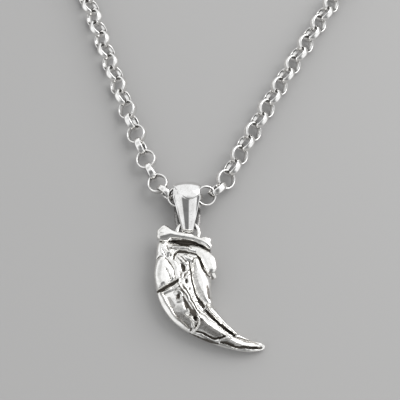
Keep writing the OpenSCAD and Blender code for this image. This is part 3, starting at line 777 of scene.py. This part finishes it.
curvePoints = chainCurve()
curveRun = [0.0]
for here, ahead in zip(curvePoints, curvePoints[1:] + curvePoints[:1]):
    curveRun.append(curveRun[-1] + (ahead - here).length)
loopLength = curveRun[-1]
slots = 2 * round((loopLength + chain["slackTotal"]) / chain["step"] / 2)
linkStep = (loopLength + chain["slackTotal"]) / slots
lastLink = slots // 2 - chain["claspSlots"] // 2 - 1
linkRadius = chain["linkDiameter"] / 2


def routePoint(s):
    # the place on the loop at a run of s
    s %= loopLength
    low, high = 0, len(curvePoints)
    while high - low > 1:
        middle = (low + high) // 2
        low, high = (middle, high) if curveRun[middle] <= s else (low, middle)
    f = (s - curveRun[low]) / (curveRun[low + 1] - curveRun[low])
    return curvePoints[low].lerp(curvePoints[(low + 1) % len(curvePoints)], f)


def stands(roll):
    # how high a rolled link's middle lies above the table
    return linkRadius * abs(math.sin(roll)) + chain["width"] / 2 * abs(math.cos(roll))


def linkHeight(k):
    # lying on the table, or lifted to the middle of the bail's eye
    roll = math.radians(lookUp(chain["roll"], k))
    lying = max(stands(roll), stands(roll + math.pi / 2))
    return lying + (bailEyeDiameter / 2 - lying) * lookUp(chain["lift"], k - 0.5)


def linkRun(k):
    # how far along the loop a link's middle lies
    return (k - 0.5) * linkStep - lookUp(chain["slack"], k - 0.5) + chain["shift"]


def linkMatrix(k):
    # a link lies along the loop, and every second one is turned by 90 degrees
    rise = (linkHeight(k + 1) - linkHeight(k - 1)) / 2
    ahead = routePoint(linkRun(k + 0.5)) - routePoint(linkRun(k - 0.5))
    along = Vector((ahead.x, ahead.y, rise)).normalized()
    side = Vector((0, 0, 1)).cross(along).normalized()
    up = along.cross(side)
    roll = math.radians(lookUp(chain["roll"], k) + (90 if k % 2 else 0))
    across = math.cos(roll) * side + math.sin(roll) * up
    spot = routePoint(linkRun(k))
    turned = Matrix((along, across, along.cross(across))).transposed().to_4x4()
    return Matrix.Translation(place(spot.x, spot.y, linkHeight(k))) @ turned


def linkMesh(width):
    innerRadius = linkRadius - chain["wall"]
    upper = [(innerRadius + out, width / 2 * share) for out, share in chain["innerCorner"]]
    upper += [(linkRadius - deep, width / 2 * share) for deep, share in chain["outerCorner"]]
    section = upper + [(r, -z) for r, z in reversed(upper)]
    bm = bmesh.new()
    corners = [bm.verts.new((r * mm, 0, z * mm)) for r, z in section]
    edges = [bm.edges.new(pair) for pair in zip(corners, corners[1:] + corners[:1])]
    fullTurn(bm, edges, (0, 0, 1), chain["segments"])
    bmesh.ops.recalc_face_normals(bm, faces=bm.faces)
    inside = bm.verts.layers.float.new("inside")
    for v in bm.verts:
        v[inside] = 1 if math.hypot(v.co.x, v.co.y) < (innerRadius + chain["insideDeep"]) * mm else 0
    mesh = bpy.data.meshes.new("link")
    bm.to_mesh(mesh)
    bm.free()
    return mesh


def makeChain(name, node, first, last):
    link = linkMesh(chain["width"])
    narrow = linkMesh(chain["narrowWidth"])
    bm = bmesh.new()
    for k in range(first, last + 1):
        one = (narrow if k == chain["narrowLink"] else link).copy()
        one.transform(linkMatrix(k) @ Matrix.Rotation(random.uniform(0, 2 * math.pi), 4, "Z"))
        bm.from_mesh(one)
        bpy.data.meshes.remove(one)
    piece = finishPiece(name, bm, chainSilver)
    # the hollows and inner faces are marked darker, and painted shade darkens the undersides
    markHollowsAndShade(piece, chain["hollowPasses"], chain["hollowReach"], chain["insideDark"], chain["underShade"])
    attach(piece, "root")
    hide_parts(node)


makeChain("chainLeft", "chain_left", -lastLink, 0)
makeChain("chainRight", "chain_right", 1, lastLink)
print("chain made,", 2 * lastLink + 1, "links")


# The hidden clasp, in mm: a plain barrel with a ring at each end
clasp = {
    "diameter": 3.8, "wire": 0.6, "spare": 0.2,
    # an end's share of the diameter, how much of it is flat, its bevel, the rounding's share of the length
    "endShare": 0.28, "flatShare": 0.8, "bevel": 0.2, "roundShare": 0.2, "roundSteps": 6,
    "around": 48, "wireAround": 14, "ringSteps": 56, "hollowPasses": 3, "hollowReach": 0.3,
}


def claspProfile(barrel):
    # from the middle of one end to the other's: place along the axis, distance from it
    rim, full, bevel = clasp["diameter"] * clasp["endShare"], clasp["diameter"] / 2, clasp["bevel"]
    start = -barrel / 2
    profile = [(start, 0), (start, rim * clasp["flatShare"]), (start + bevel, rim)]
    for i in range(1, clasp["roundSteps"] + 1):
        a = math.pi / 2 * i / clasp["roundSteps"]
        along = bevel + (barrel * clasp["roundShare"] - bevel) * (1 - math.cos(a))
        profile.append((start + along, rim + (full - rim) * math.sin(a)))
    return profile + [(-x, r) for x, r in reversed(profile)]


def makeClasp():
    a = linkMatrix(lastLink + 1).translation
    b = linkMatrix(-lastLink - 1).translation
    length = (b - a).length / mm + clasp["spare"]
    wire = clasp["wire"]
    bm = bmesh.new()
    outline = claspProfile(length - 2 * linkRadius + wire)
    points = [bm.verts.new((x * mm, 0, r * mm)) for x, r in outline]
    fullTurn(bm, [bm.edges.new(pair) for pair in zip(points, points[1:])], (1, 0, 0), clasp["around"])
    merge(bm)
    upright = Matrix.Rotation(math.pi / 2, 3, "X")
    for side in (-1, 1):
        ring = bmesh.new()
        wireRing(ring, linkRadius - wire / 2, wire, clasp["wireAround"], clasp["ringSteps"])
        bmesh.ops.rotate(ring, verts=ring.verts, cent=(0, 0, 0), matrix=upright)
        bmesh.ops.translate(ring, verts=ring.verts, vec=(side * length / 2 * mm, 0, 0))
        addTo(bm, ring)
    turn = math.atan2(b.y - a.y, b.x - a.x)
    bmesh.ops.rotate(bm, verts=bm.verts, cent=(0, 0, 0), matrix=Matrix.Rotation(turn, 3, "Z"))
    bmesh.ops.translate(bm, verts=bm.verts, vec=(a + b) / 2)
    piece = finishPiece("claspBarrel", bm, polishedSilver)
    markHollowsAndShade(piece, clasp["hollowPasses"], clasp["hollowReach"])
    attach(piece, "root")
    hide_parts("clasp")


makeClasp()
print("clasp made")

# Camera: seen from 70 degrees above the table, as in the photograph
shot = {
    # what it looks at in mm, and the photograph's focal length and scale in pixels of a 400 pixel frame
    "lookAt": (3.0, 0.5, 0.0), "elevation": 70, "focalPixels": 621, "mmPerPixel": 0.236, "frame": 400,
    "sensor": 36, "nearest": 0.001,
}
distance = shot["focalPixels"] * shot["mmPerPixel"] * mm
elevation = math.radians(shot["elevation"])
cameraData = bpy.data.cameras.new("camera")
cameraData.sensor_fit = "HORIZONTAL"
cameraData.sensor_width = shot["sensor"]
cameraData.lens = shot["sensor"] * shot["focalPixels"] / shot["frame"]
cameraData.clip_start = shot["nearest"]
camera = bpy.data.objects.new("camera", cameraData)
camera.location = place(*shot["lookAt"]) + distance * Vector((0, -math.cos(elevation), math.sin(elevation)))
camera.rotation_euler = (math.pi / 2 - elevation, 0, 0)
bpy.context.scene.collection.objects.link(camera)
bpy.context.scene.camera = camera

# Floor: one plain pale sheet of paper
paper = {"colour": (0.42, 0.415, 0.41, 1), "rough": 0.9, "shine": 0.2, "halfSize": 1.5}


def makeFloor():
    material = bpy.data.materials.new("palePaper")
    material.use_nodes = True
    shader = material.node_tree.nodes["Principled BSDF"]
    shader.inputs["Base Color"].default_value = paper["colour"]
    shader.inputs["Roughness"].default_value = paper["rough"]
    shader.inputs["Specular IOR Level"].default_value = paper["shine"]
    bm = bmesh.new()
    bmesh.ops.create_grid(bm, x_segments=4, y_segments=4, size=paper["halfSize"])
    floor = finishPiece("floor", bm, material)


makeFloor()

# Light: a white tent with darker parts, and a stronger softbox at the upper right
tent = {
    "walls": 1.05, "colour": (0.98, 0.99, 1.0, 1),
    # towards, the angles in degrees at which the dark is full and at which it ends, the light left in it
    "dark": [
        ((0, -0.47, 0.88), 9, 36, 0.2),
        ((0, -1, 0.1), 12, 48, 0.25),
        ((-0.6, 0.35, 0.72), 8, 26, 0.72),
    ],
}
softbox = {
    # in metres, apart from its aim on the pendant in mm
    "aim": (3, -15, 3), "towards": (0.62, 0.38, 0.62), "away": 0.50, "size": (0.30, 0.40), "radiance": 3.2,
}


def makeSoftbox():
    target = place(*softbox["aim"])
    light = bpy.data.lights.new("right", "AREA")
    light.shape = "RECTANGLE"
    light.size, light.size_y = softbox["size"]
    light.energy = softbox["radiance"] * math.pi * light.size * light.size_y
    lamp = bpy.data.objects.new("right", light)
    lamp.location = target + Vector(softbox["towards"]).normalized() * softbox["away"]
    lamp.rotation_euler = (target - lamp.location).to_track_quat("-Z", "Y").to_euler()
    bpy.context.scene.collection.objects.link(lamp)


def makeTent():
    world = bpy.data.worlds.new("tent")
    world.use_nodes = True
    tree = world.node_tree
    background = tree.nodes["Background"]
    background.inputs["Color"].default_value = tent["colour"]
    where = tree.nodes.new("ShaderNodeTexCoord")
    light = tree.nodes.new("ShaderNodeValue")
    light.outputs[0].default_value = tent["walls"]
    light = light.outputs[0]
    for towards, inner, outer, left in tent["dark"]:
        dot = tree.nodes.new("ShaderNodeVectorMath")
        dot.operation = "DOT_PRODUCT"
        dot.inputs[1].default_value = Vector(towards).normalized()
        ramp = tree.nodes.new("ShaderNodeMapRange")
        ramp.interpolation_type = "SMOOTHSTEP"
        ends = (math.cos(math.radians(outer)), math.cos(math.radians(inner)), 1, left)
        for socket, number in zip(("From Min", "From Max", "To Min", "To Max"), ends):
            ramp.inputs[socket].default_value = number
        darker = tree.nodes.new("ShaderNodeMath")
        darker.operation = "MULTIPLY"
        tree.links.new(where.outputs["Generated"], dot.inputs[0])
        tree.links.new(dot.outputs["Value"], ramp.inputs["Value"])
        tree.links.new(light, darker.inputs[0])
        tree.links.new(ramp.outputs["Result"], darker.inputs[1])
        light = darker.outputs[0]
    tree.links.new(light, background.inputs["Strength"])
    bpy.context.scene.world = world


makeSoftbox()
makeTent()
bpy.context.scene.view_settings.view_transform = "Standard"
print("camera, floor and light made")
